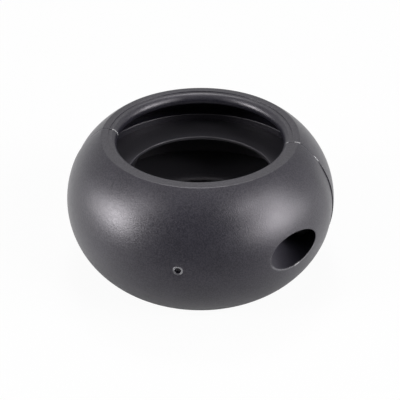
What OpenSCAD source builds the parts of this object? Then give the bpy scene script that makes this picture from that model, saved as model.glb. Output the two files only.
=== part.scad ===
// Split round collar for a tube fence post: two alike moulded halves that
// close round the post, each drawn to the other by a screw in a deep pocket.
// The origin is the collar's centre. +Z runs along the post, and the halves
// part along the Y axis: the front half lies towards -Y.

/* [Collar] */
// Outside diameter of the collar at its middle
body_d = 90; // [89:0.5:90.5]
// Height over the two flat rims
body_h = 47.5; // [47:0.5:49]
// Radius of the bulging outer wall, seen in section
bulge_r = 29.3; // [29:0.1:30]
// Thickness of the outer wall
wall = 2.2; // [1.8:0.1:2.4]

/* [Rim and lip] */
// Inner radius of the flat rim
rim_in_r = 29.25; // [29:0.05:29.6]
// Radius of the opening inside the lip
lip_r = 27.7; // [27.2:0.1:28.2]
// Drop of the lip's rounded nose below the rim
nose_drop = 2.7; // [2.4:0.1:3]
// Thickness of the lip, from the rim to its underside
lip_t = 4; // [3.6:0.1:4.4]

/* [Post seat] */
// Bore that seats a 48.3 mm tube post
post_bore_d = 48.8; // [48:0.1:49.2]
// Height of the upper web's top face above the collar's middle
web_top = 9; // [8.8:0.1:9.6]
// Thickness of each web
web_t = 2.2; // [2:0.1:2.6]
// Length of the plain bore in each web
seat_land = 1; // [0.8:0.1:1.4]
// Outer radius of the flare on the chamber side of the bore
flare_r = 26.9; // [26:0.1:27.5]
// Radius of the step behind each web's flat face
shoulder_r = 36.5; // [36:0.1:37]
// Height of that step
shoulder_h = 2.35; // [2:0.05:2.6]

/* [Screw pocket] */
// Distance from the post's axis to each screw's axis
screw_x = 34.5; // [34.2:0.1:34.7]
// Diameter of the pocket that the screw's head goes down
pocket_d = 12.6; // [12.4:0.1:12.8]
// Plastic left under the washer, down to the parting plane
seat_t = 4.5; // [4:0.1:6]
// Clearance hole for the screw
clear_d = 6.6; // [6.4:0.1:7]

/* [Insert boss] */
// Depth of the boss behind the parting plane
boss_depth = 14; // [13.6:0.1:15]
// Hole that the insert is pressed into
insert_hole_d = 8; // [7.9:0.05:8.1]
// Outside diameter of the insert's two knurled bands
insert_d = 8.3; // [8.2:0.05:8.4]
// Length of the insert
insert_len = 9.5; // [9:0.1:10]
// Diameter of the spigot that centres one half on the other
spigot_d = 10; // [9.6:0.1:10.4]
// Height of that spigot
spigot_h = 1.2; // [1:0.1:1.4]

/* [Fasteners] */
// Shank diameter of the screw
screw_d = 6; // [5.9:0.05:6]
// Length of the screw under its head
screw_len = 16; // [15:0.5:17]
// Diameter of the screw's head
head_d = 10; // [9.8:0.1:10.2]
// Height of the screw's head
head_h = 6; // [5.5:0.1:6.2]
// Width across the flats of the hexagon socket
key_af = 5; // [4.5:0.1:5.2]
// Outside diameter of the washer
washer_d = 11.9; // [11.6:0.1:12]
// Thickness of the washer
washer_t = 1.6; // [1.4:0.1:1.8]

/* [Parting line and gate] */
// Gap between the two halves when the screws are tight
parting_gap = 0.2; // [0.1:0.05:0.3]
// Bevel along the outer edges of the parting line
seam_bevel = 0.3; // [0.2:0.05:0.4]
// Diameter of the ring left by the moulding gate
gate_ring_d = 2.7; // [2.4:0.1:3]
// Diameter of the pinhole in its middle
gate_pin_d = 1.5; // [1.3:0.1:1.7]

/* [Hidden] */

$fn = 128;
body_r = body_d / 2;
half_h = body_h / 2;
half_gap = parting_gap / 2;
bulge_x = body_r - bulge_r;      // centre of the outer wall's arc
reach = body_r + 5;              // past the collar on every side
nose_top = rim_in_r - lip_r;
nose_r = (nose_top * nose_top + nose_drop * nose_drop) / (2 * nose_top);
web_low = web_top - web_t;
land_low = web_top - seat_land;
pocket_r = pocket_d / 2;
boss_bite = 0.2;                 // how far pocket tube and boss sink into the wall
boss_r = body_r - wall + boss_bite - screw_x;
key_depth = head_h / 2;
key_corner_d = key_af / cos(30);
edge_break = 0.5;                // bevel on the screw's head and tip
washer_hole_d = 6.4;
recess_play = 0.1;               // room round the spigot in its recess
insert_bore_d = screw_d + 0.1;   // running fit on the shank
band_len = 3;
groove_d = insert_hole_d - 0.6;
insert_top = spigot_h + recess_play; // the recess's floor, which the insert is flush with
screw_room = 1;                  // below the insert, for the screw's tip
gate_ring_depth = 0.15;
gate_pin_depth = 1.4;
shell_tone = "#3b3c40";
steel_tone = "#1b1b1d";
brass_tone = "#b5924c";

// The outer form in section, as a solid disc
module outer_section() {
    intersection() {
        translate([bulge_x, 0]) circle(bulge_r);
        translate([0, -half_h]) square([reach, body_h]);
    }
}

// The wall alone: the outer arc less the same arc drawn in by the wall
module wall_section() {
    difference() {
        intersection() {
            translate([bulge_x, 0]) circle(bulge_r);
            translate([lip_r, -half_h]) square([reach, body_h]);
        }
        translate([bulge_x, 0]) circle(bulge_r - wall);
    }
}

// The lip turned in at the top, with its rounded nose
module lip_section() {
    difference() {
        intersection() {
            translate([bulge_x, 0]) circle(bulge_r - wall / 2);
            translate([lip_r, half_h - lip_t]) square([reach, lip_t]);
        }
        difference() {
            translate([lip_r - 1, half_h - nose_drop]) square([nose_r + 1, nose_drop + 1]);
            translate([lip_r + nose_r, half_h - nose_drop]) circle(nose_r);
        }
    }
}

// The upper web: a short plain bore, flared on the chamber side, and a step
module web_section() {
    seat_r = post_bore_d / 2;
    intersection() {
        translate([bulge_x, 0]) circle(bulge_r - wall / 2);
        union() {
            polygon([
                [seat_r, land_low], [flare_r, web_low],
                [reach, web_low], [reach, web_top], [seat_r, web_top]
            ]);
            translate([shoulder_r, web_low]) square([reach, web_t + shoulder_h]);
        }
    }
}

// Everything that is turned about the post's axis
module ring_section() {
    wall_section();
    for (end = [0, 1]) mirror([0, end]) {
        lip_section();
        web_section();
    }
}

// Places what is drawn along +Z on the screw's axis, pointing out of the pocket
module on_screw_axis() {
    translate([screw_x, 0, 0]) rotate([90, 0, 0]) children();
}

// Places what is drawn along +Z on the insert's axis, pointing into the boss
module on_insert_axis() {
    translate([-screw_x, 0, 0]) rotate([90, 0, 0]) children();
}

// The space of one half, behind its parting face
module half_space() {
    translate([-reach, -reach - half_gap, -reach]) cube([2 * reach, reach, 2 * reach]);
}

// The pocket's tube and the insert's boss, both cut to the outer form
module bosses() {
    intersection() {
        rotate_extrude() outer_section();
        union() {
            on_screw_axis() cylinder(h = reach, r = boss_r);
            on_insert_axis() cylinder(h = boss_depth, r = boss_r);
        }
    }
}

// V cut along the parting line: round the bulge, and across the two rims
module seam_cut() {
    root = bulge_r - seam_bevel - half_gap;
    over = seam_bevel + half_gap + 0.2;
    for (side = [-1, 1]) translate([side * bulge_x, 0, 0]) rotate([90, 0, 0])
        rotate_extrude() polygon([[root, 0], [root + over, -over], [root + over, over]]);
    for (end = [-1, 1]) translate([-reach, 0, 0]) rotate([90, 0, 90])
        linear_extrude(2 * reach) polygon([
            [0, end * (half_h - seam_bevel - half_gap)],
            [over, end * (half_h + 0.2)], [-over, end * (half_h + 0.2)]
        ]);
}

// Ring and pinhole where the plastic entered the mould
module gate_cut() {
    rotate([90, 0, 0]) {
        translate([0, 0, body_r - gate_ring_depth]) cylinder(h = 1, d = gate_ring_d);
        translate([0, 0, body_r - gate_pin_depth]) cylinder(h = 2, d = gate_pin_d);
    }
}

// Pocket and clearance hole on one side, recess and insert hole on the other
module fastener_holes() {
    on_screw_axis() {
        translate([0, 0, seat_t]) cylinder(h = reach, r = pocket_r);
        translate([0, 0, -spigot_h - 1]) cylinder(h = seat_t + spigot_h + 2, d = clear_d);
    }
    on_insert_axis() {
        translate([0, 0, -1]) cylinder(h = insert_top + 1, r = spigot_d / 2 + recess_play);
        cylinder(h = insert_top + insert_len + screw_room, d = insert_hole_d);
    }
}

// Spigot that stands out of the pocket side's parting face
module spigot() {
    on_screw_axis() translate([0, 0, half_gap - spigot_h]) cylinder(h = spigot_h + 1, d = spigot_d);
}

// One moulded half, as the front one lies
module moulded_half() {
    difference() {
        union() {
            intersection() {
                union() {
                    rotate_extrude() ring_section();
                    bosses();
                }
                half_space();
            }
            spigot();
        }
        fastener_holes();
        seam_cut();
        gate_cut();
    }
}

// Socket screw, its shank pointing down from the seat at z = 0
module socket_screw() {
    difference() {
        union() {
            cylinder(h = head_h - edge_break, d = head_d);
            translate([0, 0, head_h - edge_break])
                cylinder(h = edge_break, d1 = head_d, d2 = head_d - 2 * edge_break);
            translate([0, 0, edge_break - screw_len]) cylinder(h = screw_len, d = screw_d);
            translate([0, 0, -screw_len])
                cylinder(h = edge_break, d1 = screw_d - 2 * edge_break, d2 = screw_d);
        }
        translate([0, 0, head_h - key_depth]) cylinder(h = key_depth + 1, d = key_corner_d, $fn = 6);
    }
}

module washer() {
    difference() {
        cylinder(h = washer_t, d = washer_d);
        translate([0, 0, -1]) cylinder(h = washer_t + 2, d = washer_hole_d);
    }
}

// Threaded insert: two knurled bands that bite, and a groove between them
module insert() {
    difference() {
        union() {
            cylinder(h = insert_len, d = groove_d);
            for (z = [0, insert_len - band_len]) translate([0, 0, z]) cylinder(h = band_len, d = insert_d);
        }
        translate([0, 0, -1]) cylinder(h = insert_len + 2, d = insert_bore_d);
    }
}

module front_half() {
    color(shell_tone) moulded_half();
}

module rear_half() {
    color(shell_tone) rotate([0, 0, 180]) moulded_half();
}

module front_screw() {
    color(steel_tone) on_screw_axis() translate([0, 0, seat_t + washer_t]) socket_screw();
}

module rear_screw() {
    rotate([0, 0, 180]) front_screw();
}

module front_washer() {
    color(steel_tone) on_screw_axis() translate([0, 0, seat_t]) washer();
}

module rear_washer() {
    rotate([0, 0, 180]) front_washer();
}

module front_insert() {
    color(brass_tone) on_insert_axis() translate([0, 0, insert_top]) insert();
}

module rear_insert() {
    rotate([0, 0, 180]) front_insert();
}

front_half();
rear_half();
front_screw();
rear_screw();
front_washer();
rear_washer();
front_insert();
rear_insert();
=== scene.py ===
# Split collar for a tube fence post: two bulging plastic halves, and the screws that draw them together.
import bpy
import bmesh
from math import asin, atan2, cos, degrees, hypot, pi, radians, sin, sqrt, tan
from mathutils import Matrix, Vector


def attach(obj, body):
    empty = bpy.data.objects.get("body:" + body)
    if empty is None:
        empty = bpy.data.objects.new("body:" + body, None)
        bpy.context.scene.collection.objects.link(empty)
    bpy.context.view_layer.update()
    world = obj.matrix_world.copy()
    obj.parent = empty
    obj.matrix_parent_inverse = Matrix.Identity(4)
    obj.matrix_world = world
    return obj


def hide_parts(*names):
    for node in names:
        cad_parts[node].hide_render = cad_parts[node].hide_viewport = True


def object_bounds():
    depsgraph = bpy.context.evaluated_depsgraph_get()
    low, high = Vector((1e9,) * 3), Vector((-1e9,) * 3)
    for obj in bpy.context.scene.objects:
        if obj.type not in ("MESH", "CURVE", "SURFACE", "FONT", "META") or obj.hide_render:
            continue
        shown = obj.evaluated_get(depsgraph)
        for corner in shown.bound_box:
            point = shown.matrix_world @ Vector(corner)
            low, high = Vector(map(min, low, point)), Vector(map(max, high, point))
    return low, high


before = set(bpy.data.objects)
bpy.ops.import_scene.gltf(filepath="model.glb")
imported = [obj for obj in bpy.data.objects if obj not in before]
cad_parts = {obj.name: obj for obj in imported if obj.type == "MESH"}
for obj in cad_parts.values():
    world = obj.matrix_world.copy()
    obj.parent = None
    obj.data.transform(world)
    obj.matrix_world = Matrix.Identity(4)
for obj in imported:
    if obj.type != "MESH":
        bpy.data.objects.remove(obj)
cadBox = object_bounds()
print("frame loaded")

mm = 0.001
midBend = 0.3     # where the one middle point of a small rounding lies, as a share of its radius


# Mesh helpers. They all work in millimetres, and makeObject turns the result into metres.

def arc(centre, radius, start, end, steps):
    turn = radians(end - start) / steps
    first = radians(start)
    return [(centre[0] + radius * cos(first + k * turn), centre[1] + radius * sin(first + k * turn))
            for k in range(steps + 1)]


def eased(before, corner, after, radius, steps=5, support=0.12):
    # the arc that rounds one corner of an outline, with a support point just outside each end
    corner = Vector(corner)
    back = (Vector(before) - corner).normalized()
    ahead = (Vector(after) - corner).normalized()
    half = back.angle(ahead) / 2
    centre = corner + (back + ahead).normalized() * radius / sin(half)
    start = corner + back * radius / tan(half)
    end = corner + ahead * radius / tan(half)
    sweep = pi - 2 * half
    points = [start + back * support]
    for k in range(steps + 1):
        share = k / steps
        spoke = (start - centre) * sin((1 - share) * sweep) + (end - centre) * sin(share * sweep)
        points.append(centre + spoke / sin(sweep))
    points.append(end + ahead * support)
    return [tuple(p) for p in points]


def eased01(share):
    share = min(max(share, 0), 1)
    return share * share * (3 - 2 * share)


def insetBy(outline, distance):
    # a closed outline drawn into its own material, mitred at each point
    count = len(outline)
    moved = []
    for k in range(count):
        here = Vector(outline[k])
        back = (here - Vector(outline[k - 1])).normalized()
        ahead = (Vector(outline[(k + 1) % count]) - here).normalized()
        along = (back + ahead).normalized()
        outward = Vector((along.y, -along.x))
        moved.append(here - outward * distance / max(along.dot(ahead), 0.4))
    return moved


def makeObject(name, verts, faces):
    mesh = bpy.data.meshes.new(name)
    mesh.from_pydata([Vector(v) * mm for v in verts], [], faces)
    shape = bmesh.new()
    shape.from_mesh(mesh)
    bmesh.ops.recalc_face_normals(shape, faces=shape.faces)
    shape.to_mesh(mesh)
    shape.free()
    piece = bpy.data.objects.new(name, mesh)
    bpy.context.scene.collection.objects.link(piece)
    return piece


def loft(name, rings, place, closed=False):
    # solid through rings of equal count: a fan over each end, or the last ring joined to the first
    count = len(rings[0])
    verts = [place(p) for ring in rings for p in ring]
    faces = []
    for r in range(len(rings) if closed else len(rings) - 1):
        here, there = r * count, (r + 1) % len(rings) * count
        for k in range(count):
            nextK = (k + 1) % count
            faces.append((here + k, here + nextK, there + nextK, there + k))
    if not closed:
        for r in (0, len(rings) - 1):
            verts.append(place([sum(c) / count for c in zip(*rings[r])]))
            hub = len(verts) - 1
            faces += [(r * count + k, r * count + (k + 1) % count, hub) for k in range(count)]
    return makeObject(name, verts, faces)


def turned(name, rows, segments, place, closed=False):
    # rows of (radius, height), where radius is a number or a function of the angle and the height
    rings = []
    for radius, height in rows:
        ring = []
        for k in range(segments):
            angle = 2 * pi * k / segments
            reach = radius(angle, height) if callable(radius) else radius
            ring.append((reach * cos(angle), reach * sin(angle), height))
        rings.append(ring)
    return loft(name, rings, place, closed)


def combine(target, tool, operation):
    step = target.modifiers.new("combine", "BOOLEAN")
    step.object = tool
    step.operation = operation
    step.solver = "MANIFOLD"
    graph = bpy.context.evaluated_depsgraph_get()
    result = bpy.data.meshes.new_from_object(target.evaluated_get(graph))
    target.modifiers.clear()
    oldMesh = target.data
    target.data = result
    bpy.data.meshes.remove(oldMesh)
    bpy.data.objects.remove(tool)


def smoothed(piece, edgeAngle=35):
    piece.data.polygons.foreach_set("use_smooth", [True] * len(piece.data.polygons))
    piece.data.set_sharp_from_angle(angle=radians(edgeAngle))
    evener = piece.modifiers.new("even shading", "WEIGHTED_NORMAL")
    evener.keep_sharp = True
    return piece


def halfTurned(piece, name):
    # the same shape for the other half: a half turn about the post's axis
    mesh = piece.data.copy()
    mesh.transform(Matrix.Rotation(pi, 4, "Z"))
    twin = bpy.data.objects.new(name, mesh)
    bpy.context.scene.collection.objects.link(twin)
    return twin


# The moulded half

half = {
    "outerRadius": (cadBox[1].x - cadBox[0].x) / 2 / mm,
    "halfHeight": (cadBox[1].z - cadBox[0].z) / 2 / mm,
    "bulgeRadius": 29.3,
    "wall": 2.2,
    "rimEdge": 0.6,           # rounding where the bulge meets the rim
    "rimStepRadius": 30.55,   # the rim's outer part stands a little higher than its inner part
    "rimStep": 0.2,
    "rimStepLean": 0.04,
    "rimInnerRadius": 29.3,
    "rimInnerEdge": 0.5,
    "lipRadius": 27.7,
    "noseDrop": 2.3,
    "lipThickness": 4.0,
    "lipEdge": 1.6,           # rounding of the lip's lower edge
    "shoulderRadius": 36.5,
    "shoulderTop": 11.35,
    "shoulderEdge": 0.35,
    "seatRadius": 24.4,
    "seatEdge": 0.4,
    "webTop": 9.0,
    "landBottom": 8.0,
    "flareRadius": 26.9,
    "webBottom": 6.8,
    "outerSteps": 36,         # along the bulge, from the middle to the rim
    "edgeSteps": 5,
    "noseSteps": 10,
    "lipSteps": 8,
    "undercutSteps": 14,
    "chamberSteps": 8,
    "turnSteps": 178,         # round the half turn
    "seamAngle": 1.2,         # degrees from the parting plane to the first full section
    "partingGap": 0.1,        # from the middle to each half's face
    "ribWidth": 0.6,          # a fine rib along the face meets the other half's, so no light shows through
    "ribDepth": 0.6,
    "ribEnd": 0.9,            # from the rim to the rib's end
    "seamEdge": 0.15,         # rounding along the parting face
    "seamSteps": 4,
    "seamStep": 0.3,          # how far a half's pocket edge falls short of the other half
    "seamStepWidth": 9.0,
    "seamStepHeight": 19.5,   # it has gone at this height
    "seamStepFade": 6.0,      # and fades out over this much below it
}
half["bulgeCentre"] = half["outerRadius"] - half["bulgeRadius"]

gate = {
    "x": -0.35,               # off the half's middle
    "dimpleRadius": 3.8,      # shallow dish round the gate
    "dimpleDepth": 0.3,
    # (radius, height over the bulge) of the torn crest, from the outside in
    "crater": [(1.9, -1), (1.78, -0.34), (1.72, -0.2), (1.6, -0.09), (1.44, -0.03), (1.28, -0.05),
               (1.15, -0.12), (1.06, -0.26), (1.0, -0.5)],
    # and of the pinhole, from its floor out
    "pinhole": [(0.6, -1.4), (0.8, -1.3), (0.9, -1.15), (1.0, -0.5), (1.06, -0.2), (1.1, 0.3)],
    "craterSegments": 64,
    "pinholeSegments": 48,
}


def bulgeAt(z):
    return half["bulgeCentre"] + sqrt(half["bulgeRadius"] ** 2 - z * z)


def surfaceDepth(x, z):
    # how far the bulging surface lies in front of the parting plane
    return sqrt(bulgeAt(z) ** 2 - x * x)


def noseArc():
    # the lip's rounded front in section: centre and radius
    drop = half["noseDrop"] - half["rimStep"]
    across = half["rimInnerRadius"] - half["lipRadius"]
    radius = (across ** 2 + drop ** 2) / (2 * across)
    return (half["lipRadius"] + radius, half["halfHeight"] - half["noseDrop"]), radius


def upperOutline():
    # (radius, height) from the outer middle, over the rim and down the inside to the chamber's middle
    centre = (half["bulgeCentre"], 0)
    outer, top = half["bulgeRadius"], half["halfHeight"]
    inner = outer - half["wall"]

    edge = half["rimEdge"]
    edgeZ = top - edge
    edgeX = centre[0] + sqrt((outer - edge) ** 2 - edgeZ ** 2)
    edgeStart = degrees(atan2(edgeZ, edgeX - centre[0]))
    points = arc(centre, outer, 0, edgeStart, half["outerSteps"])
    points += arc((edgeX, edgeZ), edge, edgeStart, 90, half["edgeSteps"])[1:]

    # extra points on the flat faces, a little way from each edge, keep the shading flat up to it
    step, land, lean = half["rimStepRadius"], top - half["rimStep"], half["rimStepLean"]
    lip, ease = half["lipRadius"], half["rimInnerEdge"]
    nose, noseRadius = noseArc()
    drop = land - nose[1]
    easeX = nose[0] - sqrt((noseRadius - ease) ** 2 - (drop - ease) ** 2)
    easeEnd = degrees(atan2(drop - ease, easeX - nose[0]))
    points += [(edgeX - 0.3, top), (step + 0.55, top), (step, top), (step - lean, land), (step - 0.3, land)]
    points += arc((easeX, land - ease), ease, 90, easeEnd, half["edgeSteps"])
    points += arc(nose, noseRadius, easeEnd, 180, half["noseSteps"])[1:]

    def wallAt(z):
        return centre[0] + sqrt(inner ** 2 - z * z)

    under = top - half["lipThickness"]
    shoulder, shoulderTop, web = half["shoulderRadius"], half["shoulderTop"], half["webTop"]
    seat, landBottom, webBottom = half["seatRadius"], half["landBottom"], half["webBottom"]
    points += eased((lip, top), (lip, under), (wallAt(under), under), half["lipEdge"], half["lipSteps"], 0.05)
    points += arc(centre, inner, degrees(asin(under / inner)), degrees(asin(shoulderTop / inner)),
                  half["undercutSteps"])
    points += eased((wallAt(0), shoulderTop), (shoulder, shoulderTop), (shoulder, web), half["shoulderEdge"])
    points += [(shoulder, web + 0.15), (shoulder, web), (shoulder - 0.15, web)]
    points += eased((shoulder, web), (seat, web), (seat, landBottom), half["seatEdge"])
    points += [(seat, landBottom), (half["flareRadius"], webBottom)]
    points += arc(centre, inner, degrees(asin(webBottom / inner)), 0, half["chamberSteps"])
    return points


def halfRing(name):
    upper = upperOutline()
    outline = upper + [(r, -z) for r, z in reversed(upper[1:-1])]
    count = len(outline)

    def faceColumn(side, share):
        # the section at the parting face, rounded off from share 0 on the surface to 1 on the face
        lean = share * pi / 2
        y = -half["partingGap"] - half["seamEdge"] * (1 - sin(lean))
        drawn = insetBy(outline, half["seamEdge"] * (1 - cos(lean)))
        return [(side * sqrt(p.x ** 2 - y * y), y, p.y) for p in drawn]

    seamSteps, turnSteps, first = half["seamSteps"], half["turnSteps"], half["seamAngle"]
    columns = [faceColumn(1, k / seamSteps) for k in range(seamSteps, -1, -1)]
    for k in range(turnSteps + 1):
        angle = radians(first + (180 - 2 * first) * k / turnSteps)
        columns.append([(r * cos(angle), -r * sin(angle), z) for r, z in outline])
    columns += [faceColumn(-1, k / seamSteps) for k in range(seamSteps + 1)]

    verts = [p for column in columns for p in column]
    faces = [tuple(range(count)), tuple(range(len(verts) - count, len(verts)))]
    for c in range(len(columns) - 1):
        for k in range(count):
            nextK = (k + 1) % count
            faces.append((c * count + k, c * count + nextK, (c + 1) * count + nextK, (c + 1) * count + k))

    for i, (x, y, z) in enumerate(verts):
        away = hypot(x - gate["x"], z)
        if y < 1 - half["outerRadius"] and away < gate["dimpleRadius"]:
            dish = gate["dimpleDepth"] * (1 + cos(pi * away / gate["dimpleRadius"])) / 2
            verts[i] = (x, y + dish, z)
        outside = min(i % count, count - i % count) <= half["outerSteps"]
        if outside and x > 0 and y > -half["seamStepWidth"]:
            # the moulding draws in a little towards its pocket edge, but not at the rim
            near = eased01(1 + y / half["seamStepWidth"])
            low = eased01((half["seamStepHeight"] - abs(z)) / half["seamStepFade"])
            shrink = half["seamStep"] * near * low
            lean = asin(z / half["bulgeRadius"])
            reach = 1 - shrink * cos(lean) / hypot(x, y)
            verts[i] = (x * reach, y * reach, z - shrink * sin(lean))
    return makeObject(name, verts, faces)


# What carries the fasteners: a pocket's tube on one side of a half, and an insert's boss on the other

bosses = {
    "screwX": 34.5,           # from the post's axis to each screw's axis
    "bossRadius": 8.5,
    "bossDepth": 14.0,
    "bossEdge": 0.25,
    "bossSegments": 96,
    "bossRows": 8,
    "faceDrop": 0.02,         # how far both bosses stop behind the half's face
    "tubeSink": 0.8,          # and how far the pocket's tube stops under the bulge
    "bossSink": 0.5,          # the insert's boss stays at least this far under it
    "pocketRadius": 6.3,
    "pocketFloor": 4.5,       # from the parting plane
    "floorFillet": 0.3,
    "mouthEdge": 0.32,        # rounding where the pocket breaks through the bulge
    "mouthLeans": (0, 18, 36, 54, 70),   # degrees round that rounding
    "mouthClear": 0.25,       # over the bulge, where the cutter stops flaring
    "mouthFlare": 1.05,       # its width there past the bore's, as a share of the rounding
    "pocketSegments": 128,
    "boreSegments": 64,
    "clearanceRadius": 3.3,
    "spigotRadius": 5.0,
    "spigotRise": 1.1,        # past the parting plane
    "spigotRoot": 2.0,
    # (inward, back) from the spigot's end, for its rounded edge
    "spigotEdge": [(0.25, 0), (0.08, 0.08), (0, 0.25)],
    "recessRadius": 5.1,
    "recessDepth": 1.3,
    "recessEdge": 0.12,
    "insertHoleRadius": 4.0,
    "insertHoleDepth": 11.8,
    "drillTip": 0.4,
    "holeLead": 0.2,          # chamfer of the passage through the spigot and of the recess
}


def onScrewAxis(p):
    # what is drawn along the third coordinate points out of the pocket
    return (bosses["screwX"] + p[0], -p[2], p[1])


def onInsertAxis(p):
    return (p[0] - bosses["screwX"], -p[2], p[1])


def onGateAxis(p):
    return (p[0] + gate["x"], -p[2], p[1])


def circle(radius, segments):
    return [(radius * cos(2 * pi * k / segments), radius * sin(2 * pi * k / segments))
            for k in range(segments)]


def pocketTube():
    radius, edge, segments = bosses["bossRadius"], bosses["bossEdge"], bosses["bossSegments"]
    face = half["partingGap"] + bosses["faceDrop"]
    rows = [(radius - edge, face), (radius - edge * midBend, face + edge * midBend), (radius, face + edge)]
    rings = [[(x, z, depth) for x, z in circle(reach, segments)] for reach, depth in rows]
    rings.append([(x, z, surfaceDepth(bosses["screwX"] + x, z) - bosses["tubeSink"])
                  for x, z in circle(radius, segments)])
    return loft("tube", rings, onScrewAxis)


def insertBoss():
    radius, edge, depth = bosses["bossRadius"], bosses["bossEdge"], bosses["bossDepth"]
    face, bend, count = half["partingGap"] + bosses["faceDrop"], edge * midBend, bosses["bossRows"]

    def within(limit):
        # drawn in from the limit, in steps of 0.02 mm, until it is far enough under the bulge
        def reach(angle, height):
            r = limit
            while (hypot(r * cos(angle) - bosses["screwX"], height)
                   > bulgeAt(r * sin(angle)) - bosses["bossSink"]):
                r -= 0.02
            return r
        return reach

    rows = [(within(radius - edge), face), (within(radius - bend), face + bend)]
    rows += [(within(radius), face + edge + (depth - 2 * edge - face) * k / count) for k in range(count + 1)]
    rows += [(within(radius - bend), depth - bend), (within(radius - edge), depth)]
    return turned("boss", rows, bosses["bossSegments"], onInsertAxis)


def pocketCutter():
    # a straight bore whose mouth flares over a small rounding that follows the bulging surface
    radius, fillet, edge = bosses["pocketRadius"], bosses["floorFillet"], bosses["mouthEdge"]
    segments, floor, bend = bosses["pocketSegments"], bosses["pocketFloor"], bosses["floorFillet"] * midBend
    rows = [(radius - fillet, floor), (radius - bend, floor + bend), (radius, floor + fillet)]
    rings = [[(x, z, depth) for x, z in circle(reach, segments)] for reach, depth in rows]

    leans = [radians(lean) for lean in bosses["mouthLeans"]]
    flare = [(edge * (1 - cos(lean)), edge * (1 - sin(lean))) for lean in leans]
    outside = edge * bosses["mouthFlare"]
    for grow, sink in flare + [(outside, -bosses["mouthClear"])]:
        rings.append([(x, z, surfaceDepth(bosses["screwX"] + x, z) - sink)
                      for x, z in circle(radius + grow, segments)])
    rings.append([(x, z, half["outerRadius"]) for x, z in circle(radius + outside, segments)])
    return loft("pocket", rings, onScrewAxis)


def meetingRib(side):
    middle, rib, depth = half["bulgeRadius"] - half["wall"] / 2, half["ribWidth"] / 2, half["ribDepth"]
    section = [(middle - rib, 0), (middle + rib, 0), (middle + rib, depth), (middle - rib, depth)]
    steps, end = half["outerSteps"], asin((half["halfHeight"] - half["ribEnd"]) / middle)
    rings = []
    for k in range(-steps, steps + 1):
        angle = end * k / steps
        rings.append([(half["bulgeCentre"] + r * cos(angle), r * sin(angle), y) for r, y in section])
    return loft("rib", rings, lambda p: (side * p[0], -p[2], p[1]))


def mouldedHalf(name):
    piece = halfRing(name)
    segments = bosses["bossSegments"]
    combine(piece, pocketTube(), "UNION")
    combine(piece, insertBoss(), "UNION")
    for side in (1, -1):
        combine(piece, meetingRib(side), "UNION")

    rise, radius = bosses["spigotRise"], bosses["spigotRadius"]
    spigot = [(radius - inward, back - rise) for inward, back in bosses["spigotEdge"]]
    spigot.append((radius, bosses["spigotRoot"]))
    combine(piece, turned("spigot", spigot, segments, onScrewAxis), "UNION")

    crater, pinhole = ([(r, half["outerRadius"] + over) for r, over in gate[part]]
                       for part in ("crater", "pinhole"))
    combine(piece, turned("crater", crater, gate["craterSegments"], onGateAxis), "UNION")

    # each cutter starts a little outside the face that it cuts
    through, recess = bosses["clearanceRadius"], bosses["recessRadius"]
    hole, depth, deep = bosses["insertHoleRadius"], bosses["recessDepth"], bosses["insertHoleDepth"]
    lead, edge, tip = bosses["holeLead"], bosses["recessEdge"], bosses["drillTip"]
    passage = [(through + 0.3, -rise - 0.3), (through + lead, -rise - 0.01), (through, lead - rise),
               (through, bosses["pocketFloor"] + 0.2)]
    cups = [(recess + 0.3, -0.2), (recess + lead, half["partingGap"]), (recess, half["partingGap"] + lead),
            (recess, depth - edge), (recess - edge, depth)]
    bore = [(hole, -0.5), (hole, deep - tip), (hole - tip, deep)]
    for tool in (turned("pinhole", pinhole, gate["pinholeSegments"], onGateAxis), pocketCutter(),
                 turned("passage", passage, bosses["boreSegments"], onScrewAxis),
                 turned("recess", cups, segments, onInsertAxis),
                 turned("bore", bore, bosses["boreSegments"], onInsertAxis)):
        combine(piece, tool, "DIFFERENCE")
    return smoothed(piece)


frontShell = mouldedHalf("collar_front")
rearShell = smoothed(halfTurned(frontShell, "collar_rear"))
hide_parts("front_half")
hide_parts("rear_half")
for shell, body in ((frontShell, "front"), (rearShell, "rear")):
    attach(shell, body)
print("both halves moulded:", len(frontShell.data.vertices), "points each")


# Fasteners, all measured out from the parting plane along the screw's axis

screw = {
    "seat": 6.1,              # underside of the head
    "headRadius": 5.0,
    "headHeight": 6.0,
    "headSegments": 180,
    # (inward, away from the end) for the head's two rounded edges
    "underEdge": [(0.4, 0), (0.25, 0), (0.1, 0.16)],
    "topEdge": [(0.1, 0.62), (0.2, 0.36), (0.42, 0.12), (0.7, 0), (1.4, 0)],
    "knurls": 45,
    "knurlDepth": 0.12,
    "knurlRows": (0.42, 2.5, 5.1),       # above the seat
    "socketFlats": 5.0,
    "socketDepth": 3.0,
    "socketMouth": 3.02,      # radius of the socket's countersink
    "shankRadius": 3.0,
    "shankLength": 16.0,
    "shankSegments": 48,
    "pitch": 1.0,
    "threadDepth": 0.6,
    "threadCrest": 0.125,     # flat on the crest, and then the flank, as shares of half the pitch
    "threadFlank": 0.625,
    "threadStart": 0.7,       # plain shank under the head
    "threadRunOut": 0.8,      # over which the thread reaches its depth
    "tipChamfer": 0.75,
    "rowsPerTurn": 8,
}

washer = {
    "holeRadius": 3.2,
    "outerRadius": 5.95,
    "low": 4.5,
    "thickness": 1.6,
    "segments": 96,
    # (into the metal, away from the face) for each of its four edges
    "lowHoleEdge": [(0, 0.12), (0.12, 0)],
    "lowRimEdge": [(0.1, 0), (0, 0.08)],
    "highRimEdge": [(0, 0.4), (0.04, 0.2), (0.16, 0.06), (0.36, 0)],
    "highHoleEdge": [(0.4, 0), (0.14, 0.05), (0, 0.22)],
}

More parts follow.
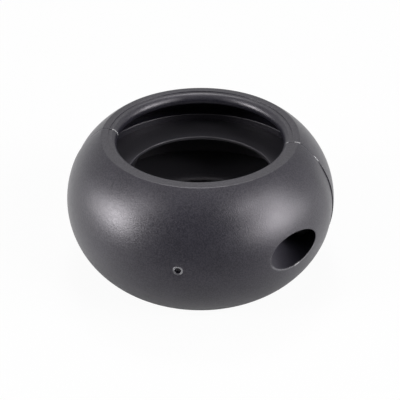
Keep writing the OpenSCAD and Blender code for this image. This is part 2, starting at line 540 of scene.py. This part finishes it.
insert = {
    "low": 1.3,
    "length": 9.5,
    "bandLength": 3.0,
    "bandRadius": 4.15,
    "grooveRadius": 3.7,
    "boreRadius": 3.05,
    "boreChamfer": 0.45,
    "threadDepth": 0.4,
    "threadLead": 0.4,        # from each end to the thread, and over which it reaches its depth
    "chamfer": 0.3,
    "bandEdge": 0.25,
    "bandRows": 6,
    "knurls": 36,
    "knurlDepth": 0.13,
    "knurlTwist": 0.14,       # radians per millimetre, opposite ways on the two bands
    "segments": 144,
}


def threadWave(angle, height, pitch):
    # 0 on the crest and 1 at the root of a right-hand thread
    across = abs((height / pitch - angle / (2 * pi)) % 1 - 0.5) * 2
    return min(max((across - screw["threadCrest"]) / screw["threadFlank"], 0), 1)


def shankReach(angle, height):
    tip, start = screw["seat"] - screw["shankLength"], screw["seat"] - screw["threadStart"]
    cut = screw["threadDepth"] * min(max((start - height) / screw["threadRunOut"], 0), 1)
    reach = screw["shankRadius"] - cut * threadWave(angle, height, screw["pitch"])
    return min(reach, screw["shankRadius"] - screw["tipChamfer"] + (height - tip))


def knurledHead(angle, height):
    return screw["headRadius"] - screw["knurlDepth"] * (0.5 - 0.5 * cos(screw["knurls"] * angle))


def hexagon(angle, height):
    return screw["socketFlats"] / 2 / cos(angle % (pi / 3) - pi / 6)


def socketScrew(name):
    seat, radius = screw["seat"], screw["headRadius"]
    top = seat + screw["headHeight"]
    tip, neck = seat - screw["shankLength"], seat + 1
    steps = round((neck - tip) * screw["rowsPerTurn"] / screw["pitch"])
    shank = [(shankReach, tip + (neck - tip) * k / steps) for k in range(steps + 1)]
    floor = top - screw["socketDepth"]
    head = [(radius - inward, seat + up) for inward, up in screw["underEdge"]]
    head += [(knurledHead, seat + up) for up in screw["knurlRows"]]
    head += [(radius - inward, top - down) for inward, down in screw["topEdge"]]
    head += [(screw["socketMouth"], top), (hexagon, top - 0.2), (hexagon, floor + 0.9), (hexagon, floor)]
    head += [(2.2, floor - 0.04), (0.3, floor - 0.6)]         # the drill's cone under the socket
    piece = turned(name, head, screw["headSegments"], onScrewAxis)
    combine(piece, turned("shank", shank, screw["shankSegments"], onScrewAxis), "UNION")
    return smoothed(piece, 28)


def stampedWasher(name):
    inner, outer, low = washer["holeRadius"], washer["outerRadius"], washer["low"]
    high = low + washer["thickness"]
    profile = [(inner + across, low + up) for across, up in washer["lowHoleEdge"]]
    profile += [(outer - across, low + up) for across, up in washer["lowRimEdge"]]
    profile += [(outer - across, high - down) for across, down in washer["highRimEdge"]]
    profile += [(inner + across, high - down) for across, down in washer["highHoleEdge"]]
    return smoothed(turned(name, profile, washer["segments"], onScrewAxis, closed=True))


def threadedInsert(name):
    low, length, band, count = insert["low"], insert["length"], insert["bandLength"], insert["bandRows"]
    high, radius, groove = low + length, insert["bandRadius"], insert["grooveRadius"]
    bore, lead, edge = insert["boreRadius"], insert["threadLead"], insert["bandEdge"]

    def knurl(way):
        def reach(angle, height):
            wave = cos(insert["knurls"] * (angle + way * insert["knurlTwist"] * (height - low)))
            return radius - insert["knurlDepth"] * (0.5 - 0.5 * wave)
        return reach

    def boreReach(angle, height):
        inside = min(height - low, high - height)
        cut = insert["threadDepth"] * min(max((inside - lead) / lead, 0), 1)
        return bore + cut * (1 - threadWave(angle, height, screw["pitch"]))

    rows = [(radius - insert["chamfer"], low)]
    rows += [(knurl(1), low + edge + (band - 2 * edge) * k / count) for k in range(count + 1)]
    rows += [(groove, low + band), (groove, high - band)]
    rows += [(knurl(-1), high - band + edge + (band - 2 * edge) * k / count) for k in range(count + 1)]
    rows += [(radius - insert["chamfer"], high), (bore + insert["boreChamfer"], high)]
    steps = round(length * screw["rowsPerTurn"])
    rows += [(boreReach, high - lead - (length - 2 * lead) * k / steps) for k in range(steps + 1)]
    rows.append((bore + insert["boreChamfer"], low))
    return smoothed(turned(name, rows, insert["segments"], onInsertAxis, closed=True), 28)


fasteners = []
for maker, name, node, slotName in ((socketScrew, "socket_screw", "screw", "dark_steel"),
                                    (stampedWasher, "washer", "washer", "dark_steel"),
                                    (threadedInsert, "threaded_insert", "insert", "brass")):
    front = maker(name + "_front")
    rear = smoothed(halfTurned(front, name + "_rear"), 28)
    for piece, side in ((front, "front"), (rear, "rear")):
        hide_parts(f"{side}_{node}")
        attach(piece, side if node == "insert" else f"{side}_{node}")
        fasteners.append(piece)
print("fasteners turned")


# Finishes

class Signal:
    # wraps one socket in a tree of nodes; arithmetic on it adds Math nodes

    def __init__(self, tree, socket=None):
        self.tree = tree
        self.socket = socket

    def make(self, kind, settings=None, inputs=None, output=0):
        # any node: its type, its settings, then the values or links of its sockets
        node = self.tree.nodes.new(kind)
        for key, value in (settings or {}).items():
            setattr(node, key, value)
        for key, value in (inputs or {}).items():
            if isinstance(value, Signal):
                self.tree.links.new(value.socket, node.inputs[key])
            else:
                node.inputs[key].default_value = value
        return Signal(self.tree, node.outputs[output] if len(node.outputs) else None)

    def maths(self, operation, *values, clamp=False):
        settings = {"operation": operation, "use_clamp": clamp}
        return self.make("ShaderNodeMath", settings, dict(enumerate(values)))

    def __add__(self, other):
        return self.maths("ADD", self, other)

    __radd__ = __add__

    def __sub__(self, other):
        return self.maths("SUBTRACT", self, other)

    def __rsub__(self, other):
        return self.maths("SUBTRACT", other, self)

    def __mul__(self, other):
        return self.maths("MULTIPLY", self, other)

    __rmul__ = __mul__

    def __truediv__(self, other):
        return self.maths("DIVIDE", self, other)

    def __rtruediv__(self, other):
        return self.maths("DIVIDE", other, self)

    def beside(self, other):
        # the length of two sides at a right angle
        return self.maths("SQRT", self * self + other * other)

    def size(self):
        # without its sign
        return self.maths("ABSOLUTE", self)

    def bounded(self):
        # kept from 0 to 1
        return self.maths("ADD", self, 0, clamp=True)

    def between(self, low, high):
        # 0 at low and 1 at high, whichever is the larger, with a soft step between
        return self.make("ShaderNodeMapRange", {"interpolation_type": "SMOOTHSTEP"},
                         {"Value": self, "From Min": low, "From Max": high})

    def mixed(self, first, second):
        # a colour that goes from the first to the second with this signal
        return self.make("ShaderNodeMix", {"data_type": "RGBA"}, {0: self, 6: first, 7: second}, output=2)

    def vector(self, operation, *values, output=0):
        return self.make("ShaderNodeVectorMath", {"operation": operation}, dict(enumerate(values)), output)

    def place(self, scale=(1, 1, 1)):
        # the point on the piece, in metres, stretched by scale
        return self.vector("MULTIPLY", self.make("ShaderNodeTexCoord", output=3), scale)

    def axes(self):
        # the point on the piece as three signals, in millimetres
        parts = self.make("ShaderNodeSeparateXYZ", None, {0: self.place()}).socket.node.outputs
        return [Signal(self.tree, part) / mm for part in parts]

    def within(self, low, high, soft=0.1):
        # 1 from low to high, and 0 further than soft outside them
        return self.between(low - soft, low) * self.between(high + soft, high)

    def noise(self, size, detail=2.0, roughness=0.5, where=None):
        # noise whose grains are about size millimetres across
        inputs = {"Vector": where or self.place(), "Scale": 1 / (size * mm)}
        return self.make("ShaderNodeTexNoise", None, {**inputs, "Detail": detail, "Roughness": roughness})

    def bump(self, distance, strength=1.0, normal=None):
        inputs = {"Height": self, "Distance": distance * mm, "Strength": strength}
        if normal:
            inputs["Normal"] = normal
        return self.make("ShaderNodeBump", None, inputs)


def newFinish(name):
    finish = bpy.data.materials.new(name)
    finish.use_nodes = True
    finish.node_tree.nodes.clear()
    return finish, Signal(finish.node_tree)


def wear(finish, *pieces):
    for piece in pieces:
        piece.data.materials.clear()
        piece.data.materials.append(finish)


plastic = {
    "dark": (0.0049, 0.0046, 0.0094, 1),
    "pale": (0.0123, 0.0116, 0.0188, 1),
    "inside": (0.050, 0.048, 0.056, 1),     # painted light: a paler colour on the inner faces that lifts their shade
    "speck": (0.05, 0.048, 0.05, 1),
    # painted highlight: the pale colour laid where edges catch the lamps
    "paintedHighlight": (0.34, 0.34, 0.35, 1),
    "roughness": 0.385,
    "pocketRoughness": 0.2,   # added inside the pocket
    "refraction": 1.49,
    "gloss": 0.7,
    "tint": (0.99, 0.94, 1.0, 1),
    "sparkle": 0.3,           # an extra gloss that comes and goes with the grain
    # how wide each kind of unevenness is, in millimetres, and how deep two of them are
    "cloudWidth": 11,
    "patchWidth": 1.6,
    "patchDepth": 0.03,
    "grainWidth": 0.45,
    "grainDepth": 0.038,
    "speckWidth": 0.35,
    # where each mask starts and where it is full, in millimetres
    "paintedLiftDepth": (1.0, 1.9),  # under the bulge
    "paintedLiftHeight": (20.4, 19.6),
    "paintedLiftAway": (6.8, 7.4),   # from the pocket's axis
    "paintedShadeRadius": (31, 38),  # over the web, the painted light thins out towards the wall, which paints shade there
    "paintedShadeHeight": (8, 14, 1),
    "skinDepth": (0.5, 0.3),  # under the bulge
    "edgeWidth": (0.36, 0.24),           # to each side of the parting plane
    # the parting line's painted glints: along x (from, to, softness), and along z the same or (starts, full)
    "pocketGlint": ((38.0, 39.4, 0.2), (17.2, 19.4, 0.3)),
    "rimGlints": (((31.5, 33.2), (23.3, 23.5)), ((28.7, 29.3), (23.0, 23.2))),
    "lipGlint": ((-29.6, -27.6), (21.2, 21.6)),
    "gateGlint": ((1.0, 1.12), (1.68, 1.5)),        # radii over which the painted highlight ring round the gate comes in and goes out
    "gateDepth": (44.0, 44.2),           # out from the parting plane
    "lipAway": (6.9, 6.6),    # the painted highlight on the pocket's lower lip: from its axis, up, and out from the parting plane
    "lipHeight": (-1.5, -3.5),
    "lipDepth": (10, 12),
    "nickGlint": (35.7, -6.45),    # a brighter painted glint on that lip
    "nickReach": (0.9, 0.5),
    # how bright each painted highlight is
    "strayHighlight": 0.25,       # on faint stretches of the parting line
    "ringHighlight": 0.5,
    "lipHighlight": 0.14,
    "nickHighlight": 0.7,
}


def mouldedPlastic():
    finish, base = newFinish("charcoal plastic")
    cloud = base.noise(plastic["cloudWidth"], 3).between(0.35, 0.68)
    fine = base.noise(plastic["grainWidth"], 1, 0.5)
    patch = base.noise(plastic["patchWidth"], 3)
    specks = base.noise(plastic["speckWidth"], 1, 0.4).between(0.68, 0.74)
    tone = (cloud * 0.45 + fine.between(0.36, 0.66) * 0.55).bounded()
    skin = (specks * 0.4).mixed(tone.mixed(plastic["dark"], plastic["pale"]), plastic["speck"])

    x, y, z = base.axes()
    sunk = half["bulgeRadius"] - (x.beside(y) - half["bulgeCentre"]).beside(z)
    own = -1 * x * y.maths("SIGN", y)       # towards this half's pocket
    pocket = (own - bosses["screwX"]).beside(z)
    # painted light on the inner faces away from the pocket, taken off again near the wall over the web as
    # painted shade
    paintedLift = (sunk.between(*plastic["paintedLiftDepth"]) * z.size().between(*plastic["paintedLiftHeight"])
            * pocket.between(*plastic["paintedLiftAway"]))
    paintedWallShade = x.beside(y).between(*plastic["paintedShadeRadius"]) * z.within(*plastic["paintedShadeHeight"])
    colour = (paintedLift * (1 - paintedWallShade)).mixed(skin, plastic["inside"])

    # painted highlights: glints on bits of the parting line, round the cut gate and on the lower lip of the
    # pocket, where edges catch the lamps
    edge = y.size().between(*plastic["edgeWidth"])
    nearSkin = sunk.between(*plastic["skinDepth"])
    nose, noseRadius = noseArc()
    noseSkin = (x + nose[0]).beside(z - nose[1]).between(noseRadius - 0.45, noseRadius - 0.25)
    # painted highlights on short stretches of the parting line
    along, across = plastic["pocketGlint"]
    seamGlints = x.within(*along) * z.within(*across) * nearSkin
    for along, across in plastic["rimGlints"]:
        seamGlints = seamGlints + x.within(*along) * z.between(*across)
    along, across = plastic["lipGlint"]
    seamGlints = seamGlints + x.within(*along) * z.between(*across) * noseSkin
    strayGlints = base.noise(3.0, 2).between(0.62, 0.7) * plastic["strayHighlight"]

    gateAway = (own - gate["x"]).beside(z)
    inner, outer = plastic["gateGlint"]
    # painted highlight: a pale ring round the cut gate
    ring = gateAway.between(*inner) * gateAway.between(*outer) * y.size().between(*plastic["gateDepth"])
    ring = ring * (0.25 + (z + own * 0.5).between(-1.0, -0.2) * 0.75)        # painted highlight: dimmer at its lower left, away from the lamps
    # painted highlight along the pocket's lower lip, with a brighter painted glint on it
    lip = (pocket.between(*plastic["lipAway"]) * nearSkin * z.between(*plastic["lipHeight"])
           * y.size().between(*plastic["lipDepth"]))
    nickX, nickZ = plastic["nickGlint"]
    nickGlint = (own - nickX).beside(z - nickZ).between(*plastic["nickReach"]) * lip
    paintedHighlight = (edge * (seamGlints + strayGlints) + ring * plastic["ringHighlight"] + lip * plastic["lipHighlight"]
            + nickGlint * plastic["nickHighlight"])
    colour = paintedHighlight.bounded().mixed(colour, plastic["paintedHighlight"])

    inPocket = pocket.between(6.5, bosses["pocketRadius"])
    rough = plastic["roughness"] + (fine - 0.5) * 0.3 + (patch - 0.5) * 0.12
    rough = rough + inPocket * plastic["pocketRoughness"]
    grain = fine.bump(plastic["grainDepth"], 1.0, patch.bump(plastic["patchDepth"], 0.5))
    shader = base.make("ShaderNodeBsdfPrincipled", None, {
        "Base Color": colour, "Roughness": rough, "Normal": grain, "Specular IOR Level": plastic["gloss"],
        "Specular Tint": plastic["tint"], "IOR": plastic["refraction"],
        "Coat Weight": fine.between(0.35, 0.65) * (1 - inPocket) * plastic["sparkle"],
        "Coat Roughness": plastic["roughness"]})
    base.make("ShaderNodeOutputMaterial", None, {"Surface": shader})
    return finish


steel = {
    "oxide": (0.030, 0.030, 0.032, 1),
    "bared": (0.33, 0.32, 0.31, 1),
    "roughness": 0.38,
    "metallic": 0.85,
    "scuffWidth": 0.9,        # in millimetres
    "dragWidth": 0.35,
    "dragStretch": (1, 0.08, 1),         # the marks run out along the screw's axis
    "markDepth": 0.01,
}


def blackenedSteel():
    finish, base = newFinish("blackened steel")
    scuff = base.noise(steel["scuffWidth"], 4, 0.6)
    drag = base.noise(steel["dragWidth"], 2, 0.5, base.place(steel["dragStretch"]))
    bare = scuff.between(0.6, 0.74) * 0.7
    rough = steel["roughness"] + (scuff - 0.5) * 0.3
    lines = (drag * 0.6 + scuff * 0.4).bump(steel["markDepth"], 0.8)
    shader = base.make("ShaderNodeBsdfPrincipled", None, {
        "Base Color": bare.mixed(steel["oxide"], steel["bared"]), "Roughness": rough, "Normal": lines,
        "Metallic": steel["metallic"]})
    base.make("ShaderNodeOutputMaterial", None, {"Surface": shader})
    return finish


brass = {
    "bright": (0.74, 0.53, 0.24, 1),
    "dull": (0.40, 0.27, 0.12, 1),
    "roughness": 0.3,
    "tarnishWidth": 1.8,      # in millimetres
    "cutWidth": 0.16,
    "cutStretch": (0.06, 1, 0.06),       # the tool's marks run round the insert
    "cutDepth": 0.008,
}


def turnedBrass():
    finish, base = newFinish("turned brass")
    tarnish = base.noise(brass["tarnishWidth"], 4, 0.6).between(0.42, 0.7)
    cuts = base.noise(brass["cutWidth"], 2, 0.5, base.place(brass["cutStretch"]))
    rough = brass["roughness"] + tarnish * 0.25
    shader = base.make("ShaderNodeBsdfPrincipled", None, {
        "Base Color": (tarnish * 0.7).mixed(brass["bright"], brass["dull"]), "Roughness": rough,
        "Normal": cuts.bump(brass["cutDepth"]), "Metallic": 1.0})
    base.make("ShaderNodeOutputMaterial", None, {"Surface": shader})
    return finish


wear(mouldedPlastic(), frontShell, rearShell)
wear(blackenedSteel(), *fasteners[:4])
wear(turnedBrass(), *fasteners[4:])
print("finishes laid on")


# Floor, backdrop and lights

studio = {
    "floorSize": 6.0,
    "floorColour": (0.86, 0.86, 0.86, 1),
    "shadowKept": 0.06,       # how much of its own shade the camera sees on the floor
    "skyStrength": 0.2,       # how much light the sky gives the object
    "mirroredSky": 0.62,      # in a glossy face: how far the backdrop goes from that strength to white
    "roomStrength": 0.05,     # and how far the dark room on the viewer's side does
    "roomSide": (0.156, -0.988, 0.0),
    "roomSky": (0.5, 0.75),   # how nearly a direction points that way, as a cosine
    "roomEdge": (0.4, 0.9),   # and how nearly a spot on the floor lies that way
    "roomReach": (0, 120),    # how far that way the room begins and is full, in millimetres
    "roomFloor": 0.6,         # how much of the light on the floor the room takes away
    "contact": (25, 75),      # the floor's own shade fades out between these distances, in millimetres
    "lampDistance": 1.0,
}


def seenRays(base):
    # what is seen straight, and what is seen in a reflection or through glass; light on the object is neither
    path = base.make("ShaderNodeLightPath").socket.node.outputs
    straight, mirrored, through = (Signal(base.tree, path[f"Is {kind} Ray"])
                                   for kind in ("Camera", "Glossy", "Transmission"))
    return straight, mirrored + through


def whiteFloor():
    reach, drop = studio["floorSize"] / 2, cadBox[0].z
    mesh = bpy.data.meshes.new("floor")
    corners = ((-1, -1), (1, -1), (1, 1), (-1, 1))
    mesh.from_pydata([(reach * x, reach * y, drop) for x, y in corners], [], [(0, 1, 2, 3)])
    floor = bpy.data.objects.new("floor", mesh)
    bpy.context.scene.collection.objects.link(floor)
    finish, base = newFinish("white floor")
    straight, mirrored = seenRays(base)
    paper = base.make("ShaderNodeBsdfDiffuse", None, {"Color": studio["floorColour"]})
    glow = base.make("ShaderNodeEmission", None, {"Color": (1, 1, 1, 1), "Strength": 1.0})
    # in a glossy face the floor is white too, but for the object's shade and the dark room in front
    x, y = base.axes()[:2]
    away = x.beside(y)
    ahead = x * studio["roomSide"][0] + y * studio["roomSide"][1]
    room = (ahead / away).between(*studio["roomEdge"]) * ahead.between(*studio["roomReach"])
    seen = straight * (1 - studio["shadowKept"]) + mirrored * (1 - room) * away.between(*studio["contact"])
    cover = base.make("ShaderNodeMixShader", None, {0: seen.bounded(), 1: paper, 2: glow})
    dark = base.make("ShaderNodeEmission", None, {"Color": (0, 0, 0, 1), "Strength": 1.0})
    cover = base.make("ShaderNodeMixShader", None, {
        0: (mirrored * room * studio["roomFloor"]).bounded(), 1: cover, 2: dark})
    base.make("ShaderNodeOutputMaterial", None, {"Surface": cover})
    mesh.materials.append(finish)


def whiteSky():
    world = bpy.data.worlds.new("sky")
    world.use_nodes = True
    world.node_tree.nodes.clear()
    bpy.context.scene.world = world
    base = Signal(world.node_tree)
    straight, mirrored = seenRays(base)
    facing = base.vector("DOT_PRODUCT", base.make("ShaderNodeTexCoord"), studio["roomSide"], output=1)
    room = facing.between(*studio["roomSky"])
    backdrop = studio["mirroredSky"] * (1 - room) + studio["roomStrength"] * room
    seen = (straight + mirrored * backdrop).bounded()
    dim, full = (base.make("ShaderNodeBackground", None, {"Color": (1, 1, 1, 1), "Strength": strength})
                 for strength in (studio["skyStrength"], 1.0))
    sky = base.make("ShaderNodeMixShader", None, {0: seen, 1: dim, 2: full})
    base.make("ShaderNodeOutputWorld", None, {"Surface": sky})


lamps = {
    # name: degrees round from the right, degrees up, watts, width; each is a round soft box a metre away
    "left": (-157, 8, 4.4, 0.45),
    "left_side": (-176, 5, 1.1, 0.3),
    "left_front": (-149, 4, 1.8, 0.3),
    "left_middle": (-151, 18, 1.8, 0.3),
    "left_high": (-141, 36, 1.0, 0.3),
    "front": (-36, 8, 1.1, 0.3),
    "front_high": (-32, 38, 1.6, 0.3),
    "right": (-15, 11, 5.0, 0.45),
    "right_side": (6, 5, 1.0, 0.3),
    "right_high": (-8, 30, 1.6, 0.3),
    "back": (99, 64, 2.8, 0.3),
    "top": (99, 86, 0.8, 0.3),
}


def softBox(name, round_, up, watts, width):
    lamp = bpy.data.lights.new(name, "AREA")
    lamp.shape = "DISK"
    lamp.size, lamp.energy = width, watts
    round_, up = radians(round_), radians(up)
    away = Vector((cos(round_) * cos(up), sin(round_) * cos(up), sin(up)))
    box = bpy.data.objects.new(name, lamp)
    box.location = away * studio["lampDistance"]
    box.rotation_euler = away.to_track_quat("Z", "Y").to_euler()
    bpy.context.scene.collection.objects.link(box)


whiteFloor()
whiteSky()
for name, settings in lamps.items():
    softBox(name, *settings)


# Camera

view = {
    "elevation": 32.4,
    "azimuth": 9.0,
    "distance": 0.561,
    "lens": 149.2,
    "sensor": 36.0,
    "roll": -0.4,
    "raise": -1.327 * mm,     # aim point, along the camera's own up and right
    "shift": -0.166 * mm,
}


def placeCamera():
    up, round_ = radians(view["elevation"]), radians(view["azimuth"])
    away = Vector((sin(round_) * cos(up), -cos(round_) * cos(up), sin(up)))
    turn = away.to_track_quat("Z", "Y").to_matrix()
    aim = turn @ Vector((view["shift"], view["raise"], 0))
    lens = bpy.data.cameras.new("camera")
    lens.lens, lens.sensor_width = view["lens"], view["sensor"]
    lens.clip_start, lens.clip_end = 0.01, 20
    camera = bpy.data.objects.new("camera", lens)
    turn = turn @ Matrix.Rotation(radians(view["roll"]), 3, "Z")
    camera.matrix_world = Matrix.Translation(aim + away * view["distance"]) @ turn.to_4x4()
    bpy.context.scene.collection.objects.link(camera)
    bpy.context.scene.camera = camera


placeCamera()
bpy.context.scene.view_settings.view_transform = "Standard"
print("camera set")
